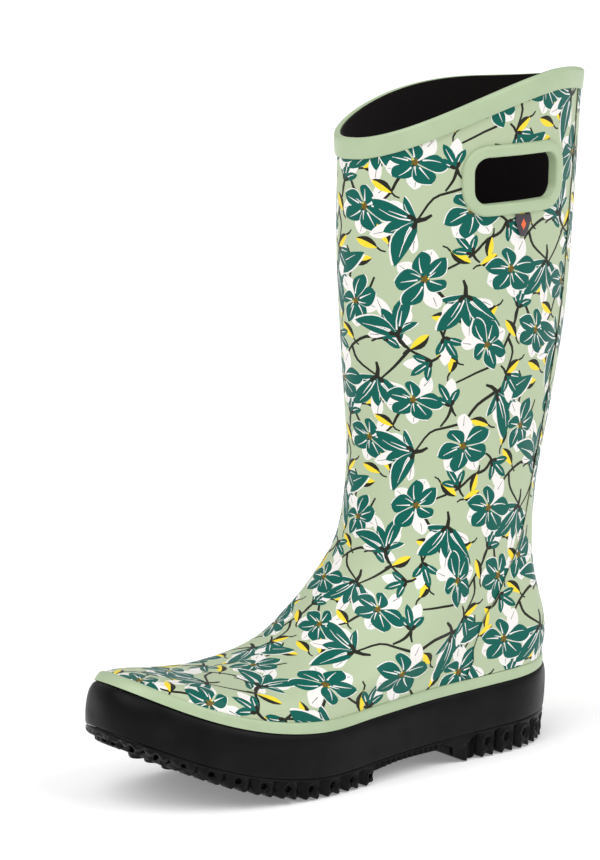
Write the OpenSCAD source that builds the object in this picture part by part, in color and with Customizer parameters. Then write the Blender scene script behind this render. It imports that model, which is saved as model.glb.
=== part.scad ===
// Left rubber rain boot: printed leg, black foxed sole, bound rim and two pull handles.
// +Z is up, the toe points to -Y and the outer side of the foot is +X.
// The origin is on the ground, under the middle of the boot.

/* [Leg] */
// Height of the rim at the back of the leg
rim_back = 377; // [365:1:381]
// Height of the rim at the front of the leg
rim_front = 340; // [331:1:351]
// How much lower the rim runs on the inner side than on the outer side
rim_inner_drop = 9.5; // [0:0.5:11]
// Depth of the binding down the outside of the rim
binding_depth = 10; // [8:0.5:13]
// Thickness of the binding's rubber
binding_thick = 1.5; // [1:0.1:2]

/* [Layers] */
// Thickness of the printed rubber
rubber_thick = 1.8; // [1.4:0.1:2]
// Thickness of the back stay laid over the printed rubber
stay_thick = 1.1; // [0.8:0.1:1.5]
// Thickness of the stiffeners inside the foot
stiffener_thick = 0.8; // [0.5:0.1:0.8]
// Thickness of the foam rubber bootie round the foot
bootie_thick = 1.7; // [1.2:0.1:1.9]
// Thickness of the textile lining
lining_thick = 1.1; // [0.8:0.1:1.4]
// Gap left between neighbouring layers
layer_gap = 0.15; // [0.1:0.05:0.2]

/* [Handles] */
// Length of the opening in each pull handle
slot_length = 57; // [48:1:60]
// Height of the opening in each pull handle
slot_height = 25; // [20:1:28]
// Radius of the opening's corners
slot_corner = 8; // [6:0.5:9]
// Height of the middle of the opening above the ground
slot_level = 319.5; // [311:0.5:323]
// Width of the raised frame round the opening
frame_width = 6.5; // [5:0.5:8]
// Thickness of the raised frame
frame_thick = 2.2; // [1.5:0.1:2.6]

/* [Sole] */
// Height of the black band up the side of the foot
band_height = 24; // [20:1:25]
// Thickness of the black band
band_thick = 3.6; // [2.5:0.1:4]
// Height of the green strip above the black band
rand_height = 6; // [4:0.5:8]
// How far the sole curls up at the tip of the toe
toe_spring = 28; // [18:1:30]
// Radius of the round lugs
lug_radius = 5.2; // [4:0.2:5.6]

/* [Footbed] */
// Thickness of the removable footbed's foam
footbed_thick = 4.8; // [3.5:0.1:5]
// Thickness of the footbed's cloth cover
cover_thick = 1; // [0.6:0.1:1.2]
// Clearance round the removable footbed
footbed_clear = 2; // [1.5:0.1:2.5]

/* [Mesh] */
// Number of facets round the boot
around = 44; // [36:4:48]

/* [Hidden] */

// Colours
print_green = [0.72, 0.80, 0.63];
trim_green = [0.66, 0.80, 0.60];
black_rubber = [0.09, 0.09, 0.10];
lining_black = [0.13, 0.09, 0.10];
foam_grey = [0.30, 0.32, 0.34];
board_tan = [0.72, 0.62, 0.47];
steel = [0.62, 0.64, 0.66];
label_orange = [0.90, 0.36, 0.16];

// Outline of the boot. Each curve lists [where, value]; stations run forward from the heel.
back_profile = [[3, 6], [33, 3.5], [63, 4], [103, 14], [148, 9], [193, -1], [243, -10],
    [303, -14], [363, -17], [383, -19]];
front_profile = [[3, 293], [30, 290.5], [39, 288], [45, 283], [50, 269], [56, 229],
    [67, 185.5], [81, 163], [97, 146.5], [118, 133], [143, 129], [173, 127], [223, 130.5],
    [283, 133], [333, 131.5]];
leg_half_width = [[3, 40], [103, 39], [148, 40], [203, 43], [263, 47], [323, 50.5], [383, 53]];
// Half-widths of the foot, from the heel (0) to the toe (1)
foot_outer = [[0, 60], [0.1, 56], [0.21, 46], [0.35, 40], [0.5, 43], [0.65, 51], [0.8, 55.5],
    [0.92, 58], [1, 62]];
foot_inner = [[0, 60], [0.1, 56], [0.21, 45], [0.35, 36.5], [0.5, 35.5], [0.65, 43], [0.8, 53],
    [0.92, 68], [1, 84]];
foot_top = 58;          // the foot's own outline ends here
leg_start = 153;        // and the leg's own outline starts here
toe_station = 293;
spring_station = 165;   // the sole's upper side lies flat behind this station
tread_station = 192;    // and the tread behind this one
tread_spring = 28.5;    // how far the tread has risen at the foremost lug
tread_end = 280;
rim_bulge = 0.3;        // how far the binding swells out below its top
dip_from = 110;         // the rim starts to drop at this angle
dip_turn = 250;         // and is back up after this much of a turn
rim_steepness = 0.6;    // how early on its way round the rim reaches its full height
dip_power = 1.3;        // how sharply the rim dips on its way
tread_power = 1.5;      // how sharply the tread curls up
edge_level = 37;        // stations along the sole's edge are taken at this height
// The origin is midway between the tip of the toe and the back of the rim.
origin_y = (front_profile[0][1] + band_thick + curve(back_profile, rim_back)
    - layer_gap - binding_thick - rim_bulge) / 2;
// Height of the black band's upper edge at each station, before the toe spring
band_edge = [[0, 42], [80, 39], [150, 36], [190, 34], [240, 35], [293, 40]];
// Height of the roots of the lugs at each station, before the toe spring
lug_root = [[0, 12.5], [70, 12.5], [84, 9.5], [130, 8.5], [150, 6], [190, 5], [240, 5.5], [293, 9]];
// Half the angle that the back stay covers, against height
stay_spread = [[43, 63.5], [51, 65], [64, 75.5], [76, 77.5], [90, 70], [101, 65], [114, 58],
    [130, 51], [150, 47], [190, 46], [380, 44]];

// Rows of the layers: the sole edge, the band's edge, the green strip's edge, the leg, the rim.
leg_rows = 15;
row_band = 2;
row_rand = 3;
row_leg_end = row_rand + leg_rows;
row_rim = row_leg_end + 1;
row_puff = 7;
row_counter = 8;
row_patch = 9;
row_bootie = 11;
row_lining_shaft = 12;
// Columns where the stiffeners meet
step = 360 / around;
puff_columns = round(57 / step);
counter_columns = round(57 / step);
patch_start = puff_columns + 1;
patch_end = around / 2 - counter_columns - 1;
stay_columns = round(80 / step);
stay_margin = 20;       // the stay's outline runs on past its ends
stay_steps = 40;

// How deep each hidden layer starts below the printed surface
stiffener_depth = rubber_thick + layer_gap;
bootie_depth = stiffener_depth + stiffener_thick + layer_gap;
foot_lining_depth = bootie_depth + bootie_thick + layer_gap;
leg_lining_depth = stiffener_depth;
foot_inside = foot_lining_depth + lining_thick;
leg_inside = leg_lining_depth + lining_thick;
facing_gap = 0.4;
facing_depth = leg_inside + facing_gap;
facing_thick = 0.9;
tape_thick = 0.5;
tape_reach = 6;         // degrees to either side of the back seam
frame_lift = 0.35;
lining_lip = 1.2;       // how far the lining ends above the printed rubber, beside the binding
root_inset = 0.5;       // the tread's slab is smaller below than at its upper edge
slab_edge = 1.5;        // height of the slab's upright edge
rand_out = 1.6;
rand_top_out = 1.1;
rand_gap = 0.1;         // between the band and the green strip
stay_gap_low = 0.2;     // between the green strip and the stay
stay_gap_high = 0.3;    // between the stay and the binding
label_lift = 0.45;
cover_gap = 0.05;
// Rounded upper edges, as [height, distance out] from the edge itself
band_round = [[-8, 0], [-3, -0.4], [0, -1.3]];
binding_round = [[-1.6, rim_bulge], [-0.4, -0.7], [0, -1.6]];
binding_cap_round = [[0, 0.7], [-0.5, 0]];
// The bootie's outer and inner depth where it thins out towards the leg
row_taper = 10;
taper_outer = 2.4;
taper_inner = 3.7;
shaft_inner = 2.5;

// Heights of the layers above the outsole
filler_thick = 2.2;
board_level = filler_thick + layer_gap;
board_thick = 1.8;
bootie_level = board_level + board_thick + layer_gap;
lining_level = bootie_level + bootie_thick + layer_gap;
footbed_level = lining_level + lining_thick + layer_gap;
cover_level = footbed_level + footbed_thick + cover_gap;

// Shank under the arch
shank_width = 16;
shank_from = 62;
shank_to = 158;
shank_thick = 1.4;
shank_lift = 0.7;       // above the filler's underside
shank_clear = 0.2;      // round the shank in its pocket

// Pull handles
slot_angle = 91;
slot_tilt = 2;
cut_depth = 40;
label_angle = 94.7;
label_top = 300;
label_width = 11;
label_drop = 12;
label_thick = 0.6;
label_shoulder = 3;     // the label's sides run down this far
label_tip = 3;          // width of its lower end
// The sheet that each handle's frame and facing are cut from
ring_reach = 42;        // degrees to either side of the opening's middle
ring_columns = 14;
ring_rows = 3;
ring_margin = 9;        // above and below the opening

// Lugs
heel_lug_stations = [20, 35, 50, 65];
ball_lug_stations = [150, 164, 178, 192, 206, 220, 234, 248];
middle_heel_stations = [14, 28, 43, 58];
middle_ball_stations = [157, 171, 185, 199, 213, 227, 241, 255];
middle_spread = 8;      // half the distance between the two rows of middle lugs
middle_shift = -3;      // the middle rows lie nearer the inner side
tip_lug = [-6, 268];
heel_bar_station = 82;
heel_bar_from = -22;
heel_bar_length = 46;
heel_bar_outline = [[0, 0], [11, 0], [11, 14.5], [-8, 12.5]];
lug_overlap = 1.5;
edge_inset = 7;
lug_edge = 13;          // the lugs follow the sole's outline at this height

function slope(k, i) = let (a = max(i - 1, 0), b = min(i + 1, len(k) - 1))
    (k[b][1] - k[a][1]) / (k[b][0] - k[a][0]);
function piece(k, q, i = 0) = i >= len(k) - 2 || q < k[i + 1][0] ? i : piece(k, q, i + 1);
// Smooth curve through the points of k, held level past its ends
function curve(k, q) = let (
        p = min(max(q, k[0][0]), k[len(k) - 1][0]),
        i = piece(k, p),
        h = k[i + 1][0] - k[i][0],
        t = (p - k[i][0]) / h)
    (2 * t ^ 3 - 3 * t ^ 2 + 1) * k[i][1] + (3 * t ^ 2 - 2 * t ^ 3) * k[i + 1][1]
    + (t ^ 3 - 2 * t ^ 2 + t) * h * slope(k, i) + (t ^ 3 - t ^ 2) * h * slope(k, i + 1);
function smooth(a, b, q) = let (t = min(max((q - a) / (b - a), 0), 1)) t * t * (3 - 2 * t);
function spring(station) =
    toe_spring * (max(0, station - spring_station) / (toe_station - spring_station)) ^ 2;
// Height of the tread's lowest points, which leave the ground before the toe
function tread_level(station) =
    tread_spring * (max(0, station - tread_station) / (tread_end - tread_station)) ^ tread_power;

// The printed surface: angle 0 is the toe, 90 the outer side, 180 the heel.
function station(angle, z) = let (back = curve(back_profile, z))
    back + (curve(front_profile, z) - back) * (1 + cos(angle)) / 2;
function half_width(angle, z) = let (
        k = smooth(foot_top, leg_start, z),
        side = sin(angle) >= 0 ? foot_outer : foot_inner)
    curve(side, (1 + cos(angle)) / 2) * (1 - k) + curve(leg_half_width, z) * k;
function skin(angle, z) = let (s = station(angle, z))
    [half_width(angle, z) * sin(angle), origin_y - s, z + spring(s)];
function normal(angle, z) = let (
        n = cross(skin(angle + 0.5, z) - skin(angle - 0.5, z),
                  skin(angle, z + 0.5) - skin(angle, z - 0.5)))
    n / norm(n);
function point(angle, z, out) = skin(angle, z) + out * normal(angle, z);

function around_turn(angle) = (angle % 360 + 360) % 360;
function band_level(angle) = curve(band_edge, station(angle, edge_level));
function rim_level(angle) = rim_front
    + (rim_back - rim_front) * sin(90 * min(1, rim_steepness * (1 - cos(angle))))
    - rim_inner_drop
        * sin(180 * min(1, max(0, (around_turn(angle) - dip_from) / dip_turn))) ^ dip_power;
function sole_level(angle) = band_level(angle) - band_height;
function root_level(angle) = curve(lug_root, station(angle, edge_level));
// Height of a row at an angle; row -1 is the root of the lugs
function level(row, angle) =
    row < 0 ? root_level(angle)
    : row == 0 ? sole_level(angle)
    : row == 1 ? sole_level(angle) + band_height / 2
    : row == row_band ? band_level(angle)
    : row == row_rim ? rim_level(angle)
    : let (low = band_level(angle) + rand_height, high = rim_level(angle) - binding_depth)
      low + (high - low) * ((row - row_rand) / leg_rows) ^ 2;

// A section is a list of [row, extra height, distance out of the printed surface].
function ring(entry, angles) = [for (a = angles)
    point(a, level(entry[0], a) + entry[1], entry[2])];
function flat(lists) = [for (l = lists) each l];
function turns(n) = [for (i = [0 : n - 1]) 360 * i / n];
// Two triangles over a quad whose corners run anticlockwise as seen from outside
function quad(a, b, c, d) = [[a, d, c], [a, c, b]];
function turned_quad(a, b, c, d) = [[a, d, b], [d, c, b]];
// Strips between rings of n points. Each cuts its quads from lower left to upper right, so that
// neighbouring layers have matching facets; falls says which strips run downwards.
function wall(n, falls) = flat([for (j = [0 : len(falls) - 1], i = [0 : n - 1])
    let (u = j * n, v = u + n, k = (i + 1) % n)
    falls[j] ? turned_quad(u + i, u + k, v + k, v + i) : quad(u + i, u + k, v + k, v + i)]);
function falls(section) = [for (j = [0 : len(section) - 2]) section[j + 1][0] < section[j][0]];
// Cap over a ring that starts at index o, facing up or down
function cap(n, o, up) = flat([for (i = [0 : n / 2 - 1])
    let (a = o + i, b = o + i + 1, c = o + n - i - 1, d = o + (n - i) % n)
    i == 0 ? [up ? [a, b, c] : [a, c, b]]
    : i == n / 2 - 1 ? [up ? [a, b, d] : [a, d, b]]
    : up ? [[a, b, c], [a, c, d]] : [[a, c, b], [a, d, c]]]);
function flip(faces) = [for (f = faces) [f[0], f[2], f[1]]];

// A hoop: the section is a closed outline, outer side first, and runs right round the boot.
module hoop(section) {
    angles = turns(around);
    n = around;
    last = (len(section) - 1) * n;
    closing = flat([for (i = [0 : n - 1]) let (k = (i + 1) % n) quad(last + i, last + k, k, i)]);
    polyhedron(flat([for (e = section) ring(e, angles)]), concat(wall(n, falls(section)), closing));
}

// A closed form: the first and last rings of the section are capped.
module capped(section) {
    angles = turns(around);
    polyhedron(flat([for (e = section) ring(e, angles)]),
        concat(wall(around, falls(section)), flip(cap(around, 0, false)),
            flip(cap(around, (len(section) - 1) * around, true))));
}

// A sheet between two distances out, over columns [row, column] -> [angle, z].
module sheet(grid, outer, inner) {
    rows = len(grid);
    cols = len(grid[0]);
    half = rows * cols;
    points = concat(flat([for (r = grid) [for (c = r) point(c[0], c[1], outer)]]),
        flat([for (r = grid) [for (c = r) point(c[0], c[1], inner)]]));
    faces = concat(
        flat([for (j = [0 : rows - 2], i = [0 : cols - 2]) let (a = j * cols + i)
            quad(a, a + 1, a + cols + 1, a + cols)]),
        flip(flat([for (j = [0 : rows - 2], i = [0 : cols - 2]) let (a = half + j * cols + i)
            quad(a, a + 1, a + cols + 1, a + cols)])),
        flat([for (i = [0 : cols - 2]) flip(quad(i, i + 1, half + i + 1, half + i))]),
        flat([for (i = [0 : cols - 2]) let (a = half - cols + i)
            quad(a, a + 1, half + a + 1, half + a)]),
        flat([for (j = [0 : rows - 2]) let (a = j * cols)
            quad(a, a + cols, half + a + cols, half + a)]),
        flat([for (j = [0 : rows - 2]) let (a = j * cols + cols - 1)
            flip(quad(a, a + cols, half + a + cols, half + a))]));
    polyhedron(points, faces);
}

function row_sheet(from, to, columns) = [for (r = [from : to])
    [for (a = columns) [a, level(r, a)]]];
function span(from, to, n) = [for (i = [0 : n]) from + (to - from) * i / n];

// Rubber that follows the whole height of the boot
module leg_layer(outer, inner) {
    hoop(concat([for (r = [0 : row_rim]) [r, 0, outer]],
        [for (r = [row_rim : -1 : 0]) [r, 0, inner]]));
}

// Where something sits on the side of the leg, facing straight out
module on_side(angle, z, out) {
    at = point(angle, z, out);
    n = normal(angle, z);
    translate(at) rotate([0, 0, atan2(n.y, n.x)]) rotate([90, 0, 90]) children();
}

module rounded(length, height, corner) {
    offset(r = corner, $fn = 48) square([length - 2 * corner, height - 2 * corner], center = true);
}

module slot_prism(side, grow) {
    on_side(side * slot_angle, slot_level, 0) rotate(side * slot_tilt)
        linear_extrude(cut_depth, center = true)
            rounded(slot_length + 2 * grow, slot_height + 2 * grow, slot_corner + grow);
}

module slots(grow = 0) {
    for (side = [-1, 1]) slot_prism(side, grow);
}

module handle_ring(side, outer, inner) {
    middle = side * slot_angle;
    reach = slot_height / 2 + ring_margin;
    angles = span(middle - ring_reach, middle + ring_reach, ring_columns);
    heights = span(slot_level - reach, slot_level + reach, ring_rows);
    intersection() {
        sheet([for (z = heights) [for (a = angles) [a, z]]], outer, inner);
        difference() {
            slot_prism(side, frame_width);
            slot_prism(side, 0);
        }
    }
}

module outsole() {
    color(black_rubber) {
        capped([[-1, 0, band_thick - root_inset], [0, -slab_edge - layer_gap, band_thick],
            [0, -layer_gap, band_thick]]);
        edge_lugs(heel_lug_stations);
        edge_lugs(ball_lug_stations);
        middle_lugs();
        heel_bar();
    }
}

// Angle of the sole's edge at a station on one side
function sole_angle(s, side) = side * acos(max(-1, min(1,
    2 * (s - curve(back_profile, lug_edge)) / (curve(front_profile, lug_edge)
        - curve(back_profile, lug_edge)) - 1)));

module lug(x, s, radius) {
    translate([x, origin_y - s, tread_level(s)])
        cylinder(h = curve(lug_root, s) + spring(s) - tread_level(s) + lug_overlap,
            r = radius, $fn = 24);
}

module edge_lugs(stations) {
    for (s = stations, side = [-1, 1]) {
        edge = point(sole_angle(s, side), lug_edge, 0);
        lug(edge.x - side * edge_inset, s, lug_radius);
    }
}

module middle_lugs() {
    for (s = middle_heel_stations) lug(0, s, lug_radius);
    for (s = middle_ball_stations, side = [-1, 1])
        lug(middle_shift + side * middle_spread, s, lug_radius);
    lug(tip_lug.x, tip_lug.y, lug_radius);
}

// The bar across the front of the heel, with a slanted front face
module heel_bar() {
    translate([heel_bar_from, origin_y - heel_bar_station, 0]) rotate([90, 0, 90])
        linear_extrude(heel_bar_length) polygon(heel_bar_outline);
}

module midsole_filler() {
    color(foam_grey) difference() {
        capped([[0, layer_gap, -bootie_depth], [0, filler_thick, -bootie_depth]]);
        shank_pocket(shank_clear);
    }
}

module shank_pocket(grow) {
    low = curve(band_edge, shank_from) - band_height + shank_lift;
    high = curve(band_edge, shank_to) - band_height + shank_lift;
    tilt = atan2(low - high, shank_to - shank_from);
    translate([0, origin_y - shank_from, low]) rotate([tilt, 0, 0])
        translate([-shank_width / 2 - grow, -(shank_to - shank_from) - grow, -grow])
            cube([shank_width + 2 * grow, shank_to - shank_from + 2 * grow, shank_thick + 2 * grow]);
}

module shank() {
    color(steel) shank_pocket(0);
}

module lasting_board() {
    color(board_tan)
        capped([[0, board_level, -bootie_depth], [0, board_level + board_thick, -bootie_depth]]);
}

module sidewall_band() {
    color(black_rubber) hoop(concat([[0, 0, band_thick]],
        [for (r = band_round) [row_band, r[0], band_thick + r[1]]],
        [[row_band, 0, layer_gap], [1, 0, layer_gap], [0, 0, layer_gap]]));
}

module rand_strip() {
    color(trim_green) hoop([[row_band, rand_gap, rand_out],
        [row_band, rand_height * 0.6, rand_out], [row_rand, 0, rand_top_out],
        [row_rand, 0, layer_gap], [row_band, rand_gap, layer_gap]]);
}

module upper_shell() {
    color(print_green) difference() {
        leg_layer(0, -rubber_thick);
        slots();
    }
}

// The stay's outline seen from the side
module stay_outline() {
    heights = span(stay_spread[0][0] - stay_margin,
        stay_spread[len(stay_spread) - 1][0] + stay_margin, stay_steps);
    edge = [for (z = heights) [origin_y - station(180 - curve(stay_spread, z), z), z]];
    rotate([90, 0, 90]) linear_extrude(cut_depth * 4, center = true)
        polygon(concat(edge, [[cut_depth * 5, heights[stay_steps]], [cut_depth * 5, heights[0]]]));
}

module back_stay() {
    columns = span(180 - stay_columns * step, 180 + stay_columns * step, 2 * stay_columns);
    rows = [for (r = [row_rand : row_leg_end]) [for (a = columns)
        [a, level(r, a) + (r == row_rand ? stay_gap_low : r == row_leg_end ? -stay_gap_high : 0)]]];
    color(print_green) intersection() {
        sheet(rows, layer_gap + stay_thick, layer_gap);
        stay_outline();
    }
}

module topline_binding() {
    out = layer_gap + binding_thick;
    color(trim_green) hoop(concat([[row_leg_end, 0, out]],
        [for (r = binding_round) [row_rim, out + r[0], out + r[1]]],
        [for (r = binding_cap_round) [row_rim, out + r[0], r[1] - rubber_thick]],
        [[row_rim, layer_gap, -rubber_thick], [row_rim, layer_gap, layer_gap],
            [row_leg_end, 0, layer_gap]]));
}

module handle_frame(side) {
    color(trim_green) handle_ring(side, frame_lift + frame_thick, frame_lift);
}

module handle_facing(side) {
    color(lining_black) handle_ring(side, -facing_depth, -facing_depth - facing_thick);
}

module handle_frame_lateral() { handle_frame(1); }
module handle_frame_medial() { handle_frame(-1); }
module handle_facing_lateral() { handle_facing(1); }
module handle_facing_medial() { handle_facing(-1); }

module side_label() {
    color(label_orange) on_side(label_angle, label_top, label_lift) linear_extrude(label_thick)
        polygon([[-label_width / 2, 0], [-label_width / 2, -label_shoulder],
            [-label_tip / 2, -label_drop], [label_tip / 2, -label_drop],
            [label_width / 2, -label_shoulder], [label_width / 2, 0]]);
}

// A stiffener between the printed rubber and the bootie, from one column to another
module stiffener(from, to, last_row) {
    sheet(row_sheet(0, last_row, [for (i = [from : to]) i * step]),
        -stiffener_depth, -stiffener_depth - stiffener_thick);
}

module toe_puff() {
    color(foam_grey) stiffener(-puff_columns, puff_columns, row_puff);
}
module quarter_patch_lateral() {
    color(board_tan) stiffener(patch_start, patch_end, row_patch);
}
module quarter_patch_medial() {
    color(board_tan) stiffener(-patch_end, -patch_start, row_patch);
}
module heel_counter() {
    color(foam_grey) stiffener(around / 2 - counter_columns, around / 2 + counter_columns, row_counter);
}

// The bootie thins out to nothing between the ankle and the leg.
function bootie_out(row) =
    row < row_taper ? -bootie_depth : row == row_taper ? -taper_outer : -stiffener_depth;
function bootie_in(row) = row < row_taper ? -bootie_depth - bootie_thick
    : row == row_taper ? -taper_inner : -shaft_inner;
function lining_out(row) = row >= row_lining_shaft ? -leg_lining_depth : bootie_in(row) - layer_gap;
function lining_rise(row) = row == row_rim ? lining_lip : 0;

module neoprene_bootie() {
    color(foam_grey) capped(concat([[0, bootie_level, -bootie_depth]],
        [for (r = [1 : row_bootie]) [r, 0, bootie_out(r)]],
        [for (r = [row_bootie : -1 : 1]) [r, 0, bootie_in(r)]],
        [[0, bootie_level + bootie_thick, -bootie_depth - bootie_thick]]));
}

module textile_lining() {
    color(lining_black) difference() {
        capped(concat([[0, lining_level, -foot_lining_depth]],
            [for (r = [1 : row_rim]) [r, lining_rise(r), lining_out(r)]],
            [for (r = [row_rim : -1 : 1]) [r, lining_rise(r), lining_out(r) - lining_thick]],
            [[0, lining_level + lining_thick, -foot_inside]]));
        slots();
    }
}

module lining_seam_tape() {
    columns = [180 - tape_reach, 180, 180 + tape_reach];
    color(lining_black) sheet(row_sheet(row_lining_shaft, row_leg_end - 1, columns),
        -facing_depth, -facing_depth - tape_thick);
}

module footbed() {
    edge = -foot_inside - footbed_clear;
    color(foam_grey) capped([[0, footbed_level, edge], [0, footbed_level + footbed_thick, edge]]);
}

module footbed_cover() {
    edge = -foot_inside - footbed_clear;
    color(lining_black) capped([[0, cover_level, edge], [0, cover_level + cover_thick, edge]]);
}

outsole();
midsole_filler();
shank();
lasting_board();
sidewall_band();
rand_strip();
upper_shell();
back_stay();
topline_binding();
handle_frame_lateral();
handle_frame_medial();
handle_facing_lateral();
handle_facing_medial();
side_label();
toe_puff();
quarter_patch_lateral();
quarter_patch_medial();
heel_counter();
neoprene_bootie();
textile_lining();
lining_seam_tape();
footbed();
footbed_cover();
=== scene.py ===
"""The looks of a left rubber rain boot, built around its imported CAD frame.

Lengths are millimetres in the functions below, and metres in the finished meshes. An angle of 0 is the
toe, pi/2 the outer side and pi the heel. Stations run forward from the heel.
"""

import math

import bmesh
import bpy
import numpy as np
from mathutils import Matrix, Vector
from mathutils.bvhtree import BVHTree
from mathutils.geometry import delaunay_2d_cdt


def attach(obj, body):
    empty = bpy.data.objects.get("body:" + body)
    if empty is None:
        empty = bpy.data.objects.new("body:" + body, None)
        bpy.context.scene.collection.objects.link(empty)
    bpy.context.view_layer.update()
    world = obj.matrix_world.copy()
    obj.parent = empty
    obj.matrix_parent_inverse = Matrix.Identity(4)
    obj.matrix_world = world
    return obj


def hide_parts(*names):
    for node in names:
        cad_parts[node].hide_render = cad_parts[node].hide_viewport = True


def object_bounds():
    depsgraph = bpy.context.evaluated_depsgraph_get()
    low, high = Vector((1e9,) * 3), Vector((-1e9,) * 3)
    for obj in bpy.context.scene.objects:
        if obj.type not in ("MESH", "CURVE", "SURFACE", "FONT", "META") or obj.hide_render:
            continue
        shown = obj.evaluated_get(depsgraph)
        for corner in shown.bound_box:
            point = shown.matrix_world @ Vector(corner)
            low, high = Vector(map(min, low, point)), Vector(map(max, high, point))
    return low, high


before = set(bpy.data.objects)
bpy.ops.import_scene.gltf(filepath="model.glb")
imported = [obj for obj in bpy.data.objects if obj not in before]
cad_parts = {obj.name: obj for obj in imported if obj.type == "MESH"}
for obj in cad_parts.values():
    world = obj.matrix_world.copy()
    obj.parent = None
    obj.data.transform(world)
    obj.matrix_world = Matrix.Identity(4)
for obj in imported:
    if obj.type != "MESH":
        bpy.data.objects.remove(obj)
cad_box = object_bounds()
MM = 0.001
LOW, HIGH = (np.array(corner) / MM for corner in cad_box)
BOX_MARGIN = 0.02

# ---- The boot's surface, with the same curves as the CAD part ----

TOE_SPRING, TOE_STATION, SPRING_STATION = 28.0, 293.0, 165.0
TREAD_SPRING, TREAD_STATION, TREAD_END, TREAD_POWER = 28.5, 192.0, 280.0, 1.5
RIM_BACK, RIM_FRONT, RIM_STEEPNESS = 377.0, 340.0, 0.6
RIM_DROP, DIP_FROM, DIP_TURN, DIP_POWER = 9.5, 110.0, 250.0, 1.3
BAND_HEIGHT, BAND_THICK, RAND_HEIGHT, BINDING_DEPTH = 24.0, 3.6, 6.0, 10.0
LAYER_GAP, LEG_INSIDE = 0.15, 3.05
# Stations of the back and the front against height, and half-widths of the leg
BACK = [(3, 6), (33, 3.5), (63, 4), (103, 14), (148, 9), (193, -1), (243, -10), (303, -14),
        (363, -17), (383, -19)]
FRONT = [(3, 293), (30, 290.5), (39, 288), (45, 283), (50, 269), (56, 229), (67, 185.5), (81, 163),
         (97, 146.5), (118, 133), (143, 129), (173, 127), (223, 130.5), (283, 133), (333, 131.5)]
LEG = [(3, 40), (103, 39), (148, 40), (203, 43), (263, 47), (323, 50.5), (383, 53)]
# Half-widths of the foot, from the heel (0) to the toe (1)
OUTER = [(0, 60), (0.1, 56), (0.21, 46), (0.35, 40), (0.5, 43), (0.65, 51), (0.8, 55.5), (0.92, 58),
         (1, 62)]
INNER = [(0, 60), (0.1, 56), (0.21, 45), (0.35, 36.5), (0.5, 35.5), (0.65, 43), (0.8, 53), (0.92, 68),
         (1, 84)]
# Heights against station, before the toe spring
BAND_EDGE = [(0, 42), (80, 39), (150, 36), (190, 34), (240, 35), (293, 40)]
LUG_ROOT = [(0, 12.5), (70, 12.5), (84, 9.5), (130, 8.5), (150, 6), (190, 5), (240, 5.5), (293, 9)]
# Half the angle that the back stay covers, against height
STAY_SPREAD = [(43, 63.5), (51, 65), (64, 75.5), (76, 77.5), (90, 70), (101, 65), (114, 58),
               (130, 51), (150, 47), (190, 46), (380, 44)]
FOOT_TOP, LEG_START = 58, 153
EDGE_LEVEL = 37.0  # stations along the sole's edge are taken at this height
BINDING_PROUD = 1.95  # how far the binding stands out behind the rim
STEP = 0.5  # degrees and millimetres over which the surface's slope is measured


def curve(knots, q):
    """A smooth curve through the knots, held level past its ends."""
    p, v = np.array(knots, float).T
    m = np.empty(len(p))
    m[1:-1] = (v[2:] - v[:-2]) / (p[2:] - p[:-2])
    m[0] = (v[1] - v[0]) / (p[1] - p[0])
    m[-1] = (v[-1] - v[-2]) / (p[-1] - p[-2])
    q = np.clip(np.asarray(q, float), p[0], p[-1])
    i = np.clip(np.searchsorted(p, q, side="right") - 1, 0, len(p) - 2)
    h = p[i + 1] - p[i]
    t = (q - p[i]) / h
    return ((2 * t**3 - 3 * t**2 + 1) * v[i] + (t**3 - 2 * t**2 + t) * h * m[i]
            + (3 * t**2 - 2 * t**3) * v[i + 1] + (t**3 - t**2) * h * m[i + 1])


def smooth(a, b, q):
    t = np.clip((q - a) / (b - a), 0, 1)
    return t * t * (3 - 2 * t)


ORIGIN_Y = float((FRONT[0][1] + BAND_THICK + curve(BACK, RIM_BACK) - BINDING_PROUD) / 2)


def spring(s):
    return TOE_SPRING * (np.maximum(0, s - SPRING_STATION) / (TOE_STATION - SPRING_STATION)) ** 2


def tread_rise(s):
    """Height of the tread's lowest points at a station."""
    return TREAD_SPRING * (np.maximum(0, s - TREAD_STATION) / (TREAD_END - TREAD_STATION)) ** TREAD_POWER


def station(a, z):
    back = curve(BACK, z)
    return back + (curve(FRONT, z) - back) * (1 + np.cos(a)) / 2


def skin(a, z):
    a = np.asarray(a, float)
    z = np.asarray(z, float) + 0 * a
    s = station(a, z)
    t = (1 + np.cos(a)) / 2
    k = smooth(FOOT_TOP, LEG_START, z)
    side = np.where(np.sin(a) >= 0, curve(OUTER, t), curve(INNER, t))
    return np.stack([(side * (1 - k) + curve(LEG, z) * k) * np.sin(a), ORIGIN_Y - s, z + spring(s)], -1)


def normal(a, z):
    e = math.radians(STEP)
    n = np.cross(skin(a + e, z) - skin(a - e, z), skin(a, z + STEP) - skin(a, z - STEP))
    return n / np.linalg.norm(n, axis=-1, keepdims=True)


def point(a, z, out):
    return skin(a, z) + np.asarray(out, float)[..., None] * normal(a, z)


def band_level(a):
    return curve(BAND_EDGE, station(a, EDGE_LEVEL))


def rim_level(a):
    dip = np.sin(np.pi * np.clip((np.degrees(a) % 360 - DIP_FROM) / DIP_TURN, 0, 1)) ** DIP_POWER
    rise = np.sin(np.pi / 2 * np.minimum(1, RIM_STEEPNESS * (1 - np.cos(a))))
    return RIM_FRONT + (RIM_BACK - RIM_FRONT) * rise - RIM_DROP * dip


def sole_level(a):
    return band_level(a) - BAND_HEIGHT


def root_level(a):
    return curve(LUG_ROOT, station(a, EDGE_LEVEL))


def leg_level(a, t):
    """Height at a share t of the leg, from the green strip (0) to the binding (1)."""
    low = band_level(a) + RAND_HEIGHT
    return low + (rim_level(a) - BINDING_DEPTH - low) * t**2


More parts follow.
